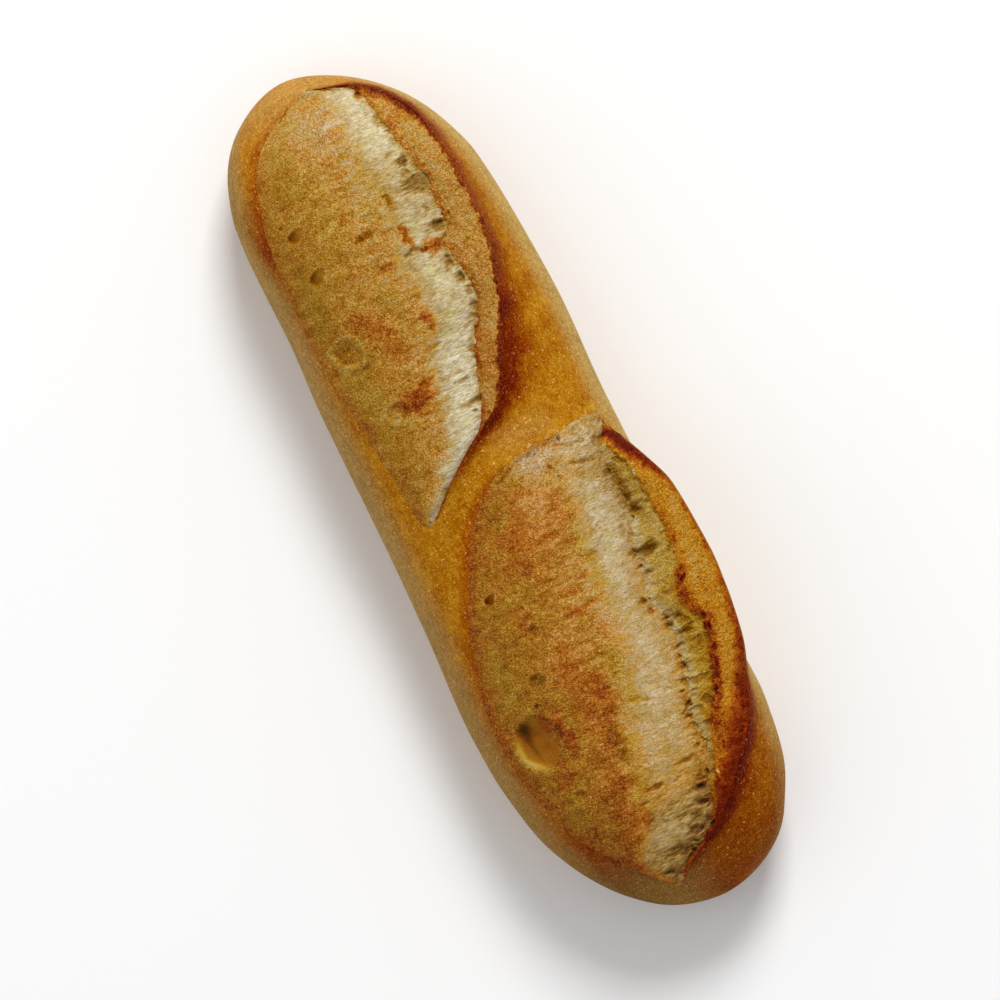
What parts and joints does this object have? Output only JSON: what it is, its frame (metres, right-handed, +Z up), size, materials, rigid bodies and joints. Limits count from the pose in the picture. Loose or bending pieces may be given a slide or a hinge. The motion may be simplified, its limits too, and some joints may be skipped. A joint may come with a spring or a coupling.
{
  "type": "semolina hoagie roll",
  "caption": "Crusty oblong bread roll with two slanted slashes that opened into pale torn blooms and lifted ears, for slicing and filling as a sandwich.",
  "frame": {"origin": "middle of the loaf's plan outline, on the surface that the flat sole rests on", "axes": "+X along the loaf, from the end whose slash opens at the very end towards the browner end; +Y across the loaf towards the side the ears lean to; +Z up"},
  "size_m": [0.25, 0.0807, 0.0564],
  "materials": {
    "crust": "dry golden-brown baked crust, matte with a faint sheen"
  },
  "bodies": {
    "root": {"roll": "crust"}
  },
  "joints": []
}
